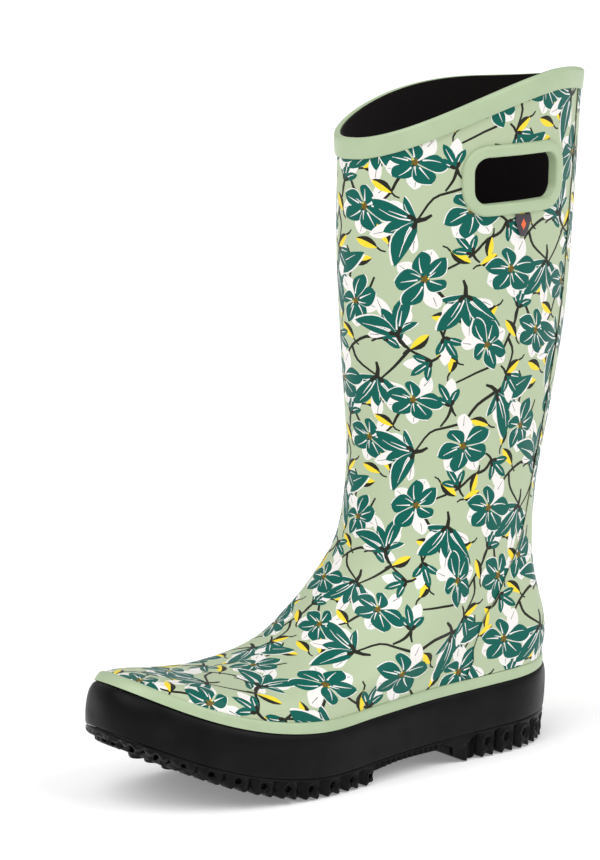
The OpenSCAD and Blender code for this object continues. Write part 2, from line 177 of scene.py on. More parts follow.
# ---- Meshes ----

CAP_SHARES = (0.06, 0.3, 0.6, 1.0)


def keep(points):
    """Points held inside the CAD model's box."""
    return np.clip(points, LOW + BOX_MARGIN, HIGH - BOX_MARGIN)


def placed(name, data):
    thing = bpy.data.objects.new(name, data)
    bpy.context.scene.collection.objects.link(thing)
    return thing


def build(name, points, faces, uvs, materials, face_materials=None, sharp=40, merge=0.0):
    """A piece from points in any array of (x, y, z), its faces and a uv for each of their corners."""
    mesh = bpy.data.meshes.new(name)
    mesh.from_pydata((keep(np.reshape(points, (-1, 3))) * MM).tolist(), [], faces)
    for m in materials:
        mesh.materials.append(m)
    if face_materials is not None:
        mesh.polygons.foreach_set("material_index", np.asarray(face_materials, np.int32))
    if uvs is not None:
        layer = mesh.uv_layers.new(name="UVMap")
        layer.data.foreach_set("uv", (np.asarray(uvs, np.float32) * MM).ravel())
    mesh.polygons.foreach_set("use_smooth", np.ones(len(mesh.polygons), bool))
    if merge:
        b = bmesh.new()
        b.from_mesh(mesh)
        bmesh.ops.remove_doubles(b, verts=b.verts, dist=merge * MM)
        bmesh.ops.recalc_face_normals(b, faces=b.faces)
        b.to_mesh(mesh)
        b.free()
    if sharp:
        mesh.set_sharp_from_angle(angle=math.radians(sharp))
    mesh.update()
    return placed(name, mesh)


def dress(piece, slot, *nodes, body="boot", fill=None):
    """piece stands for CAD nodes on a body, which are hidden. The slot is not used."""
    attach(piece, body)
    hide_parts(*nodes)
    return piece


def lattice(points, closed_rows=False):
    """Quads over points[row, column], closed round the columns, with a uv for each corner in millimetres."""
    rows, columns = points.shape[:2]
    j, i = np.meshgrid(np.arange(rows if closed_rows else rows - 1), np.arange(columns), indexing="ij")
    up, along = (j + 1) % rows, (i + 1) % columns
    faces = np.stack([j * columns + i, j * columns + along, up * columns + along, up * columns + i], -1)
    u = np.append(0, np.cumsum(np.linalg.norm(np.roll(points, -1, 1) - points, axis=2).mean(0)))
    v = np.append(0, np.cumsum(np.linalg.norm(np.roll(points, -1, 0) - points, axis=2).mean(1)))
    uvs = np.stack([np.stack([u[i], v[j]], -1), np.stack([u[i + 1], v[j]], -1),
                    np.stack([u[i + 1], v[j + 1]], -1), np.stack([u[i], v[j + 1]], -1)], 2)
    return faces.reshape(-1, 4).tolist(), uvs.reshape(-1, 2)


def with_ends(points):
    """A lattice whose first and last rings are each closed by one face."""
    faces, uvs = lattice(points)
    count = points.shape[1]
    last = (len(points) - 1) * count
    faces += [list(range(count))[::-1], list(range(last, last + count))]
    return faces, np.concatenate([uvs, np.zeros((2 * count, 2))])


def angles(count):
    return np.linspace(0, 2 * np.pi, count, endpoint=False)


def rings(section, a):
    """A ring of points for each entry of a section: (level at an angle, extra height, distance out)."""
    return np.stack([point(a, base(a) + extra, out) for base, extra, out in section])


def hoop(name, section, material, columns=220):
    """A hoop round the boot. The section is a closed outline: outer side upwards, then inner side down."""
    points = rings(section, angles(columns))
    return build(name, points, *lattice(points, closed_rows=True), [material])


def to_midline(ring, shares):
    """Rings inside a ring, drawn in to the line midway between its two sides; the last one is that line."""
    middle = (ring + np.roll(ring[::-1], 1, 0)) / 2
    return np.stack([ring + (middle - ring) * t for t in shares])


def capped(name, points, material, sharp=40):
    """A closed form between its first and last rings, which are capped."""
    floor = to_midline(points[0], CAP_SHARES)[::-1]
    whole = np.concatenate([floor, points, to_midline(points[-1], CAP_SHARES)])
    return build(name, whole, *lattice(whole), [material], sharp=sharp, merge=0.02)


# ---- Handle slots ----

SLOT_ANGLE, SLOT_LEVEL, SLOT_TILT = math.radians(91), 319.5, math.radians(2)
SLOT_LENGTH, SLOT_HEIGHT, SLOT_CORNER = 57.0, 25.0, 8.0
SLOT_LIP = 0.8
SLOT_PITCH = 2.5  # points along the slot's straight sides lie about this far apart


def turned(points, heading, at=(0, 0)):
    """Flat points, turned and then moved."""
    c, s = math.cos(heading), math.sin(heading)
    p = np.asarray(points, float)
    return np.stack([at[0] + c * p[:, 0] - s * p[:, 1], at[1] + s * p[:, 0] + c * p[:, 1]], -1)


def slot_outline(grow):
    """The slot's rounded outline in its own plane, grown outwards."""
    points = []
    radius = SLOT_CORNER + grow
    for quarter, (sx, sy) in enumerate(((1, 1), (-1, 1), (-1, -1), (1, -1))):
        cx = sx * (SLOT_LENGTH / 2 - SLOT_CORNER)
        cy = sy * (SLOT_HEIGHT / 2 - SLOT_CORNER)
        for t in np.linspace(0, np.pi / 2, 9) + quarter * np.pi / 2:
            points.append((cx + radius * math.cos(t), cy + radius * math.sin(t)))
    points = np.array(points)
    dense = []
    for p, q in zip(points, np.roll(points, -1, 0)):
        n = max(1, int(round(np.linalg.norm(q - p) / SLOT_PITCH)))
        dense += [p + (q - p) * k / n for k in range(n)]
    return np.array(dense)


def on_side(angle, level, out=0.0):
    """A place on the side of the leg, and the level directions across it and straight out of it."""
    n = normal(angle, level)
    heading = math.atan2(n[1], n[0])
    return (point(angle, level, out), np.array([-math.sin(heading), math.cos(heading), 0]),
            np.array([math.cos(heading), math.sin(heading), 0]))


def slot_places(side, plane_points):
    """(angle, level) on the boot's surface behind points of the slot's plane, found step by step."""
    centre, across, _ = on_side(side * SLOT_ANGLE, SLOT_LEVEL)
    goal = turned(plane_points, side * SLOT_TILT)

    def seen(a, z):
        d = skin(a, z) - centre
        return np.stack([d @ across, d[..., 2]], -1)

    a = np.full(len(goal), side * SLOT_ANGLE)
    z = np.full(len(goal), SLOT_LEVEL)
    turn, rise = 1e-3, 0.5
    for _ in range(8):
        miss = goal - seen(a, z)
        da = (seen(a + turn, z) - seen(a - turn, z)) / (2 * turn)
        dz = (seen(a, z + rise) - seen(a, z - rise)) / (2 * rise)
        det = da[:, 0] * dz[:, 1] - da[:, 1] * dz[:, 0]
        a = a + (miss[:, 0] * dz[:, 1] - miss[:, 1] * dz[:, 0]) / det
        z = z + (da[:, 0] * miss[:, 1] - da[:, 1] * miss[:, 0]) / det
    return a, z


def slot_ring(side, section):
    """Rings of points round a slot for each (grown by, distance out) of a section."""
    found = []
    for grow, out in section:
        a, z = slot_places(side, slot_outline(grow))
        found.append(point(a, z, out))
    return np.stack(found)


# ---- The print, in millimetres on the flat sheet of rubber ----

TILE_W, TILE_H = 104.0, 132.0
# The inks and their screen colours; the ground is the sheet's own
INKS = {"ground": (180, 193, 161), "green": (3, 92, 81), "white": (238, 234, 231), "dark": (36, 36, 28),
        "yellow": (244, 216, 56), "olive": (112, 92, 34)}


def petal(at, heading, length, width, bend=0.0, blunt=1.35, points=9, skew=0.0):
    """A petal that starts at a point: blunt moves its widest part outwards, skew sets its sides apart."""
    t = 1 - np.linspace(1, 0, points) ** 1.3
    sides = [bend * length * t**2 + s * width / 2 * np.sin(np.pi * t ** (blunt + s * skew)).clip(0) ** 0.78
             for s in (1, -1)]
    left, right = (np.stack([length * t, y], -1) for y in sides)
    return turned(np.concatenate([left[:-1], right[:0:-1]]), heading, at)


def smooth_path(points, steps=3):
    p = np.asarray(points, float)
    m = np.gradient(p, axis=0)
    found = []
    for i in range(len(p) - 1):
        for t in np.arange(steps) / steps:
            found.append((2 * t**3 - 3 * t**2 + 1) * p[i] + (t**3 - 2 * t**2 + t) * m[i]
                         + (3 * t**2 - 2 * t**3) * p[i + 1] + (t**3 - t**2) * m[i + 1])
    return np.array(found + [p[-1]])


def stroke(points, start, end):
    """The outline of a tapered line."""
    p = np.asarray(points, float)
    d = np.gradient(p, axis=0)
    n = np.stack([-d[:, 1], d[:, 0]], -1) / np.linalg.norm(d, axis=1, keepdims=True)
    w = np.linspace(start, end, len(p))[:, None] / 2
    return np.concatenate([p + n * w, (p - n * w)[::-1]])


def vein(at, heading, length, bend, start, side=0.0, width=0.6, end=0.8):
    t = np.linspace(start, end, 4)
    line = np.stack([length * t, bend * length * t**2 + side * t * (1 - t) * 4], -1)
    return stroke(turned(line, heading, at), width, 0.2)


def disc(at, radius, points=8, wave=0.0):
    a = np.linspace(0, 2 * math.pi, points, endpoint=False)
    r = radius * (1 + wave * np.cos(a * points / 2))
    return np.stack([at[0] + r * np.cos(a), at[1] + r * np.sin(a)], -1)


def fan(at, heading, size, petals, blunt, veins):
    """Green petals (lean, length, width, bend), each with white along one side and a white vein."""
    shapes = []
    for k, (lean, length, width, bend) in enumerate(petals):
        h, skew = heading + lean, 0.3 * (-1) ** k
        length, width, form = length * size, width * size, blunt - 0.35 * (k % 2)
        shapes.append(("white", petal(at, h - 0.05, length + 0.2, width, bend, form, 9, skew)))
        shapes.append(("green", petal(at, h, length, width, bend, form, 9, skew)))
        shapes.append(("white", vein(at, h + 0.05, length, bend, veins, 0.7, 0.9)))
    return shapes


def backing(at, heading, size, petals):
    """The larger white petals that show behind the green ones, each with a thin dark vein."""
    shapes = []
    for lean, length, width, bend in petals:
        shapes.append(("white", petal(at, heading + lean, length * size, width * size, bend, 1.9, 10, 0.3)))
        shapes.append(("dark", vein(at, heading + lean, length * size, bend, 0.62, 0.9, 0.4, 0.92)))
    return shapes


def blossom(at, heading, size):
    """An open flower with five uneven petals."""
    behind = ((0.62, 18.5, 10.0, 0.12), (3.15, 17.5, 10.5, 0.1), (4.45, 16.5, 9.0, 0.1))
    front = ((1.25, 12.0, 9.6, 0.3), (3.8, 15.6, 11.0, -0.2), (0.0, 18.6, 11.0, -0.3),
             (2.5, 16.6, 10.0, 0.25), (5.0, 16.0, 12.4, 0.2))
    shapes = backing(at, heading, size, behind) + fan(at, heading, size, front, 1.65, 0.24)
    for lean, length in ((2.7, 9.0), (4.8, 10.0)):
        shapes.append(("white", vein(at, heading + lean, length * size, -0.1, 0.25, -0.7, 0.8)))
    shapes.append(("olive", disc(at, 2.3 * size, 10, 0.28)))
    for k in range(3):
        a = heading + k * 2.1
        dot = (at[0] + 1.9 * math.cos(a), at[1] + 1.9 * math.sin(a))
        shapes.append(("yellow" if k % 2 else "dark", disc(dot, 0.6, 4)))
    return shapes


def calyx(at, heading, lean, length, width):
    """Two small dark leaves at the foot of a flower."""
    return [("dark", petal(at, heading + side * lean, length, width, points=4)) for side in (-1, 1)]


def cup(at, heading, size):
    """A flower from the side, opening away from its stalk."""
    behind = ((-0.85, 20.0, 7.5, -0.1), (0.0, 31.0, 9.0, 0.0), (0.9, 21.0, 7.5, 0.2))
    front = ((-0.95, 15.0, 6.0, -0.5), (0.02, 22.0, 9.0, 0.02), (-0.4, 29.0, 12.0, -0.35),
             (0.44, 31.0, 13.0, 0.38))
    shapes = backing(at, heading, size, behind) + fan(at, heading, size, front, 1.45, 0.14)
    for lean, length, bend in ((-0.45, 22.0, -0.2), (0.52, 20.0, 0.3)):
        shapes.append(("white", vein(at, heading + lean, length * size, bend, 0.3, -0.8, 0.8)))
    stalk = stroke(turned([(2, 0), (-4, 0.6), (-8, -0.4)], heading, at), 3.0, 1.4)
    return shapes + calyx(at, heading, 0.8, 7.0 * size, 3.4 * size) + [("dark", stalk)]


def bud(at, heading, size):
    shapes = [("white", petal(at, heading - 0.3, 16.5 * size, 7.0 * size, -0.15, 1.6, 7, 0.3))]
    for lean, length, bend in ((-0.55, 11.0, -0.3), (0.5, 12.5, 0.25), (0.0, 15.5, 0.06)):
        h = heading + lean
        shapes.append(("green", petal(at, h, length * size, 4.9 * size, bend, points=6)))
        shapes.append(("white", vein(at, h, length * size, bend, 0.3, 0.4, 0.7)))
    stalk = stroke(turned([(1.5, 0), (-3, 0.4), (-6, -0.2)], heading, at), 1.9, 1.1)
    return shapes + calyx(at, heading, 0.7, 4.6 * size, 2.4 * size) + [("dark", stalk)]


def leaf(at, heading, size):
    """A leaf that is half dark and half yellow."""
    length = 13.5 * size
    whole = petal(at, heading, length, 6.2 * size, 0.18, 1.1, 7)
    n = len(whole) // 2
    t = np.linspace(0, 1, 5)
    rib = turned(np.stack([length * t, 0.18 * length * t**2 - 0.5 * t], -1), heading, at)
    return [("yellow", np.concatenate([whole[:n + 1], rib[::-1][1:-1]])),
            ("dark", np.concatenate([whole[n:], whole[:1], rib[1:-1]])),
            ("dark", stroke(turned([(0.6, 0), (-2, 0.3), (-4.5, -0.6)], heading, at), 1.2, 0.9))]


# For each motif, its places on the tile: x, y, heading in degrees, size
MOTIFS = (
    (leaf, ((34, 131, 70, 1.0), (61, 103, 160, 0.95), (72, 92, 80, 1.0), (33, 68, -40, 1.0),
            (84, 82, 130, 1.0), (57, 76, -110, 0.9), (2, 70, 110, 0.95), (50, 60, 20, 0.9),
            (90, 44, 10, 1.0), (62, 38, 215, 0.95), (12, 12, 30, 1.0), (38, 6, 150, 0.95),
            (37, 30, 165, 1.0), (76, 20, 120, 0.95), (100, 2, 150, 1.0), (84, 126, 0, 0.95),
            (3, 98, 140, 0.95), (80, 8, -150, 0.9))),
    (bud, ((36, 112, 118, 1.0), (66, 84, -35, 1.0), (101, 84, 20, 1.0), (46, 66, 130, 0.95),
           (6, 30, -125, 1.0), (30, 20, -60, 1.0), (76, 36, 70, 1.0), (24, 6, 215, 0.95),
           (70, 0, -50, 1.0))),
    (cup, ((64, 122, -28, 0.9), (16, 84, 200, 0.85), (98, 62, 268, 0.85), (42, 44, -84, 0.85),
           (6, 20, 118, 0.78))),
    (blossom, ((14, 115, 10, 0.88), (45, 90, 50, 1.0), (86, 104, 85, 0.84), (70, 58, 20, 0.98),
               (20, 52, -110, 0.96), (56, 16, 135, 0.86), (92, 24, 0, 0.92))))
# Points that each twig passes through
TWIGS = (
    ((64, 122), (52, 114), (44, 104), (34, 100), (24, 96), (16, 84)), ((36, 112), (34, 106), (30, 100)),
    ((44, 104), (54, 106)), ((101, 84), (92, 84), (82, 78), (76, 70), (70, 60)),
    ((82, 78), (86, 70), (98, 62)),
    ((66, 84), (62, 78), (54, 74), (46, 66), (36, 60), (20, 52)), ((54, 74), (58, 64)),
    ((20, 52), (30, 42), (37, 30), (46, 26), (56, 16)), ((37, 30), (32, 26), (30, 20)),
    ((42, 44), (41, 36), (37, 30)), ((76, 36), (74, 28), (70, 20), (62, 6), (50, 0), (38, -6)),
    ((92, 24), (84, 34), (80, 44), (84, 52), (98, 62)), ((70, 20), (74, 12), (70, 0)),
    ((6, 30), (6, 20), (12, 12), (20, 8), (24, 6)), ((12, 12), (4, 2), (-4, -6)),
    ((14, 115), (6, 106), (2, 98), (-4, 92)), ((86, 104), (82, 114), (84, 126), (80, 134)),
    ((86, 104), (94, 110), (98, 118)))


def tile_shapes():
    """The tile's inked shapes, those in front last."""
    shapes = [("dark", stroke(smooth_path(path), 2.0, 1.1)) for path in TWIGS]
    for make, places in MOTIFS:
        for x, y, heading, size in places:
            shapes += make((x, y), math.radians(heading), size)
    return shapes


def print_over(low, high, start):
    """The shapes that touch a rectangle of the sheet; columns of tiles are set half a tile apart."""
    found = []
    tile = tile_shapes()
    first = int(math.floor((low[0] - start[0]) / TILE_W)) - 1
    last = int(math.ceil((high[0] - start[0]) / TILE_W)) + 1
    for column in range(first, last + 1):
        drop = start[1] + (column % 2) * TILE_H / 2
        for row in range(int((low[1] - drop) // TILE_H) - 1, int((high[1] - drop) // TILE_H) + 2):
            shift = np.array([start[0] + column * TILE_W, drop + row * TILE_H])
            for ink, outline in tile:
                moved = outline + shift
                if (moved.max(0) > low).all() and (moved.min(0) < high).all():
                    found.append((ink, moved))
    return found


# ---- Flat sheets laid over the boot ----

ROUND = 60.0  # a radian round the leg is about this long
FRONT_PITCH, BACK_PITCH, RIM_CLEAR = 6.0, 7.0, 0.8


def grid_quads(rows, columns):
    j, i = np.meshgrid(np.arange(rows - 1), np.arange(columns - 1), indexing="ij")
    a = (j * columns + i).ravel()
    return np.stack([a, a + 1, a + columns + 1, a + columns], -1)


def cross(a, b):
    return a[..., 0] * b[..., 1] - a[..., 1] * b[..., 0]


def carry(points, source, target):
    """Points of one grid's plane, taken to the same places of another grid."""
    quads = grid_quads(*source.shape[:2])
    triangles = np.concatenate([quads[:, [0, 1, 2]], quads[:, [0, 2, 3]]])
    flat = source.reshape(-1, 2)
    values = target.reshape(-1, target.shape[-1])
    corners = np.concatenate([flat, np.zeros((len(flat), 1))], 1)
    tree = BVHTree.FromPolygons(corners.tolist(), triangles.tolist())
    hits = [tree.find_nearest((x, y, 0)) for x, y in points]
    t = triangles[[h[2] for h in hits]]
    at = np.array([h[0][:2] for h in hits])
    a, b, c = flat[t[:, 0]], flat[t[:, 1]], flat[t[:, 2]]
    whole = cross(b - a, c - a)
    wb = cross(at - a, c - a) / whole
    wc = cross(b - a, at - a) / whole
    shares = np.stack([1 - wb - wc, wb, wc])[..., None]
    return values[t[:, 0]] * shares[0] + values[t[:, 1]] * shares[1] + values[t[:, 2]] * shares[2]


def unrolled(a, z):
    """The flat pattern, in millimetres and standing upright, of a sheet over a grid of (angle, level)."""
    rows, columns = a.shape
    at = skin(a, z).reshape(-1, 3)
    quads = grid_quads(rows, columns)
    mesh = bpy.data.meshes.new("pattern")
    mesh.from_pydata((at * MM).tolist(), [], quads.tolist())
    mesh.uv_layers.new(name="flat")
    sheet = placed("pattern", mesh)
    bpy.ops.object.select_all(action="DESELECT")
    bpy.context.view_layer.objects.active = sheet
    sheet.select_set(True)
    bpy.ops.object.mode_set(mode="EDIT")
    bpy.ops.mesh.select_all(action="SELECT")
    bpy.ops.uv.unwrap(method="MINIMUM_STRETCH", margin=0.0, fill_holes=False, correct_aspect=False)
    bpy.ops.object.mode_set(mode="OBJECT")
    loops = np.zeros(len(mesh.loops), int)
    mesh.loops.foreach_get("vertex_index", loops)
    corners = np.zeros(len(mesh.loops) * 2)
    mesh.uv_layers[0].data.foreach_get("uv", corners)
    flat = np.zeros((len(at), 2))
    flat[loops] = corners.reshape(-1, 2)
    bpy.data.objects.remove(sheet)
    bpy.data.meshes.remove(mesh)
    c0, c1, c2, c3 = quads.T
    area = np.linalg.norm(np.cross(at[c2] - at[c0], at[c3] - at[c1]), axis=1).sum()
    signed = cross(flat[c2] - flat[c0], flat[c3] - flat[c1]).sum()
    flat = flat * math.sqrt(area / abs(signed))
    if signed < 0:
        flat[:, 0] *= -1
    flat = flat.reshape(rows, columns, 2)
    up = flat[-1, columns // 2] - flat[rows // 2, columns // 2]
    turn = math.pi / 2 - math.atan2(up[1], up[0])
    c, s = math.cos(turn), math.sin(turn)
    flat = flat @ np.array([[c, s], [-s, c]])
    return flat - flat[-1, columns // 2]


def within(points, outline):
    """Which points lie inside an outline."""
    inside = np.zeros(len(points), bool)
    x, y = points[:, 0], points[:, 1]
    for (ax, ay), (bx, by) in zip(outline, np.roll(outline, -1, 0)):
        if ay != by:
            inside ^= ((ay > y) != (by > y)) & (x < (bx - ax) * (y - ay) / (by - ay) + ax)
    return inside


def clear_of(points, lines, distance):
    """The points that lie further than a distance from every line (start x, y, end x, y)."""
    start, along = lines[:, :2], lines[:, 2:] - lines[:, :2]
    nearest = np.full(len(points), np.inf)
    for p, d in zip(start, along):
        t = np.clip((points - p) @ d / max(d @ d, 1e-9), 0, 1)
        nearest = np.minimum(nearest, np.linalg.norm(points - p - t[:, None] * d, axis=1))
    return points[nearest > distance]


def grid_points(low, high, pitch):
    xs = np.arange(low[0], high[0], pitch)
    ys = np.arange(low[1], high[1], pitch * 0.87)
    return np.array([(x + pitch / 2 * (j % 2), y) for j, y in enumerate(ys) for x in xs])


def triangulated(points, edges, walls):
    """A triangle mesh over points that keeps the edges, and holds only what the first so many edges enclose.

    Returns its points, its triangles and the points that each of its points stands for.
    """
    found = delaunay_2d_cdt([Vector(p) for p in points], edges, [], 0, 1e-4, True)
    at, lines, triangles, origins, line_origins = found[:5]
    barred = {(min(line), max(line)) for line, source in zip(lines, line_origins)
              if min(source, default=walls) < walls}
    triangles = np.array(triangles)
    return np.array([tuple(p) for p in at]), triangles[enclosed(triangles, barred)], origins


def enclosed(triangles, barred):
    """Which triangles lie inside: the side changes wherever a barred edge is crossed."""
    owners = {}
    for t, corners in enumerate(triangles.tolist()):
        for k in range(3):
            p, q = corners[k - 1], corners[k]
            owners.setdefault((min(p, q), max(p, q)), []).append(t)
    beside = [[] for _ in triangles]
    inside = np.full(len(triangles), -1)
    queue = []
    for pair, both in owners.items():
        crossing = pair in barred
        if len(both) == 2:
            beside[both[0]].append((both[1], crossing))
            beside[both[1]].append((both[0], crossing))
        elif not queue:
            inside[both[0]] = crossing
            queue.append(both[0])
    while queue:
        t = queue.pop()
        for other, crossing in beside[t]:
            if inside[other] < 0:
                inside[other] = inside[t] ^ crossing
                queue.append(other)
    return inside == 1


def loop_edges(start, count):
    return [(start + k, start + (k + 1) % count) for k in range(count)]


def inked_mesh(border, gaps, shapes):
    """A flat mesh inside a border, less its gaps, cut along the print: points, triangles and their inks."""
    filling = grid_points(border.min(0), border.max(0), FRONT_PITCH).tolist()
    points, edges = [], []
    for outline in [border, *gaps, *(outline for _, outline in shapes)]:
        edges += loop_edges(len(points), len(outline))
        points += outline.tolist()
    walls = len(border) + sum(len(gap) for gap in gaps)
    at, triangles, _ = triangulated(points + filling, edges, walls)
    # A second mesh holds only the edges where two inks meet, so that nothing hidden cuts it.
    points, edges, walls = ink_edges(at, triangles, painted(at[triangles].mean(1), shapes))
    at, triangles, _ = triangulated(points + filling, edges, walls)
    return at, triangles, painted(at[triangles].mean(1), shapes)


def plain_mesh(at, rim, low, high):
    """A coarser mesh inside a rim: its points, its triangles, and which point of it each rim point meets."""
    rim_points = np.unique(rim)
    order = {p: k for k, p in enumerate(rim_points)}
    edges = [(order[p], order[q]) for p, q in rim.tolist()]
    filling = clear_of(grid_points(low, high, BACK_PITCH), at[rim].reshape(-1, 4), RIM_CLEAR)
    points = np.concatenate([at[rim_points], filling]).tolist()
    plain_at, triangles, origins = triangulated(points, edges, len(edges))
    meets = {rim_points[o]: k for k, found in enumerate(origins) for o in found if o < len(rim_points)}
    return plain_at, triangles, meets


def printed_sheet(name, a, z, holes, start, outer, inner):
    """A sheet over a grid of (angle, level), printed outside and plain inside.

    Each hole is an outline in (angle, level), and start is a corner of the print's first tile. outer and
    inner are distances out of the surface.
    """
    places = np.stack([a, z], -1)
    stretch = np.array([ROUND, 1.0])
    flat = unrolled(a, z)
    border = np.concatenate([flat[0, :-1], flat[:-1, -1], flat[-1, :0:-1], flat[:0:-1, 0]])
    low, high = border.min(0), border.max(0)
    gaps = [carry(np.stack(hole, -1) * stretch, places * stretch, flat) for hole in holes]
    at, front, ink = inked_mesh(border, gaps, print_over(low, high, start))
    rim = rim_edges(front)
    back_at, back, meets = plain_mesh(at, rim, low, high)
    behind = len(at)
    faces = front.tolist() + (back[:, ::-1] + behind).tolist()
    for p, q in rim.tolist():
        side = (q, p, meets[p] + behind, meets[q] + behind)
        faces.append(side if side[2] != side[3] else side[:3])
    colours = np.concatenate([ink, np.zeros(len(back) + len(rim), int)])
    spread = np.concatenate([at, back_at])
    where = carry(spread, flat, places)
    out = np.repeat([outer, inner], [len(at), len(back_at)])
    solid = point(where[:, 0], where[:, 1], out)
    facing = normal(where[:, 0], where[:, 1])
    facing[behind:] *= -1
    # Points that no face uses are left out.
    used = np.unique(np.concatenate([np.asarray(f) for f in faces]))
    renumber = np.full(len(solid), -1)
    renumber[used] = np.arange(len(used))
    uvs = np.concatenate([spread[list(f)] for f in faces])
    faces = [renumber[list(f)].tolist() for f in faces]
    piece = build(name, solid[used], faces, uvs, INK, colours, sharp=0)
    piece.data.normals_split_custom_set_from_vertices(facing[used].tolist())
    return piece


def triangle_sides(triangles):
    return np.concatenate([triangles[:, [0, 1]], triangles[:, [1, 2]], triangles[:, [2, 0]]])


def rim_edges(triangles):
    """Directed edges that belong to one triangle only."""
    directed = triangle_sides(triangles)
    keys = directed.min(1) * (triangles.max() + 1) + directed.max(1)
    _, first, count = np.unique(keys, return_index=True, return_counts=True)
    return directed[first[count == 1]]


def ink_edges(at, triangles, ink):
    """A painted mesh's rim edges, then those between two inks: points, edges, and how many are rim."""
    directed = triangle_sides(triangles)
    inks = np.tile(ink, 3)
    keys = directed.min(1) * len(at) + directed.max(1)
    order = np.argsort(keys, kind="stable")
    keys, inks = keys[order], inks[order]
    _, first, count = np.unique(keys, return_index=True, return_counts=True)
    differs = (count == 2) & (inks[first] != inks[np.minimum(first + 1, len(inks) - 1)])
    pairs = np.stack([keys // len(at), keys % len(at)], -1)
    pairs = np.concatenate([pairs[first[count == 1]], pairs[first[differs]]])
    used, places = np.unique(pairs, return_inverse=True)
    edges = [tuple(pair) for pair in places.reshape(-1, 2).tolist()]
    return at[used].tolist(), edges, int((count == 1).sum())


def painted(middle, shapes):
    """The ink at each place: the one of the frontmost shape that covers it."""
    ink = np.zeros(len(middle), int)
    numbers = {name: k for k, name in enumerate(INKS)}
    order = np.argsort(middle[:, 0])
    xs = middle[order, 0]
    for name, outline in shapes:
        first = np.searchsorted(xs, outline[:, 0].min())
        last = np.searchsorted(xs, outline[:, 0].max())
        near = order[first:last]
        near = near[(middle[near, 1] > outline[:, 1].min()) & (middle[near, 1] < outline[:, 1].max())]
        if len(near):
            ink[near[within(middle[near], outline)]] = numbers[name]
    return ink


# ---- Materials ----

DRIFT, DUST_PATCHES, FIBRES = 45, 70, 900  # noise scales, per metre


def shader(name, colour, roughness, **sockets):
    """A Principled material whose sockets are set directly: the material, its node tree and its shader."""
    material = bpy.data.materials.new(name)
    material.use_nodes = True
    material.diffuse_color = (*colour, 1)
    tree = material.node_tree
    surface = tree.nodes["Principled BSDF"]
    surface.inputs["Base Color"].default_value = (*colour, 1)
    surface.inputs["Roughness"].default_value = roughness
    for socket, value in sockets.items():
        surface.inputs[socket.replace("_", " ")].default_value = value
    return material, tree, surface


def noise(tree, scale, detail=3.0):
    place = tree.nodes.new("ShaderNodeTexCoord")
    texture = tree.nodes.new("ShaderNodeTexNoise")
    texture.inputs["Scale"].default_value = scale
    texture.inputs["Detail"].default_value = detail
    tree.links.new(place.outputs["Object"], texture.inputs["Vector"])
    return texture.outputs["Fac"]


def ranged(tree, value, low, high, first=0.3, last=0.7):
    """value, taken from first..last to low..high."""
    node = tree.nodes.new("ShaderNodeMapRange")
    for socket, number in zip(("From Min", "From Max", "To Min", "To Max"), (first, last, low, high)):
        node.inputs[socket].default_value = number
    tree.links.new(value, node.inputs["Value"])
    return node.outputs["Result"]


def mixed(tree, value, first, second):
    """Two colours, mixed by value."""
    ramp = tree.nodes.new("ShaderNodeValToRGB")
    ramp.color_ramp.elements[0].position = 0.3
    ramp.color_ramp.elements[1].position = 0.7
    ramp.color_ramp.elements[0].color = (*first, 1)
    ramp.color_ramp.elements[1].color = (*second, 1)
    tree.links.new(value, ramp.inputs["Fac"])
    return ramp.outputs["Color"]


def bumped(tree, surface, height, distance, strength=1.0):
    bump = tree.nodes.new("ShaderNodeBump")
    bump.inputs["Strength"].default_value = strength
    bump.inputs["Distance"].default_value = distance
    tree.links.new(height, bump.inputs["Height"])
    tree.links.new(bump.outputs["Normal"], surface.inputs["Normal"])


def linear(colour):
    """A colour given in screen values from 0 to 255."""
    return tuple((v / 255 / 12.92) if v <= 10 else ((v / 255 + 0.055) / 1.055) ** 2.4 for v in colour)


def rubber(name, colour, low, high, grain, depth, dust=None, **sockets):
    """Moulded rubber: roughness drifts from low to high, and a grain of some depth breaks up its gloss.

    Depths are metres, and grain is the number of grains in one metre. Dust is a second colour in patches.
    """
    colour = linear(colour)
    material, tree, surface = shader(name, colour, (low + high) / 2, **sockets)
    tree.links.new(ranged(tree, noise(tree, DRIFT), low, high), surface.inputs["Roughness"])
    bumped(tree, surface, noise(tree, grain, 4), depth, 0.6)
    if dust:
        patches = mixed(tree, noise(tree, DUST_PATCHES, 6), colour, linear(dust))
        tree.links.new(patches, surface.inputs["Base Color"])
    return material


def cloth(name, colour, light, threads, depth, **sockets):
    """Knitted or woven cloth: threads per metre across the piece's uv map."""
    colour, light = linear(colour), linear(light)
    material, tree, surface = shader(name, colour, 0.9, **sockets)
    waves = []
    for direction in ("X", "Y"):
        place = tree.nodes.new("ShaderNodeTexCoord")
        wave = tree.nodes.new("ShaderNodeTexWave")
        wave.bands_direction = direction
        wave.inputs["Scale"].default_value = threads * 2 / math.tau
        wave.inputs["Distortion"].default_value = 1.2
        wave.inputs["Detail"].default_value = 1
        tree.links.new(place.outputs["UV"], wave.inputs["Vector"])
        waves.append(wave.outputs["Fac"])
    weave = tree.nodes.new("ShaderNodeMath")
    weave.operation = "MULTIPLY"
    tree.links.new(waves[0], weave.inputs[0])
    tree.links.new(waves[1], weave.inputs[1])
    tree.links.new(mixed(tree, noise(tree, FIBRES, 5), colour, light), surface.inputs["Base Color"])
    bumped(tree, surface, weave.outputs["Value"], depth)
    return material


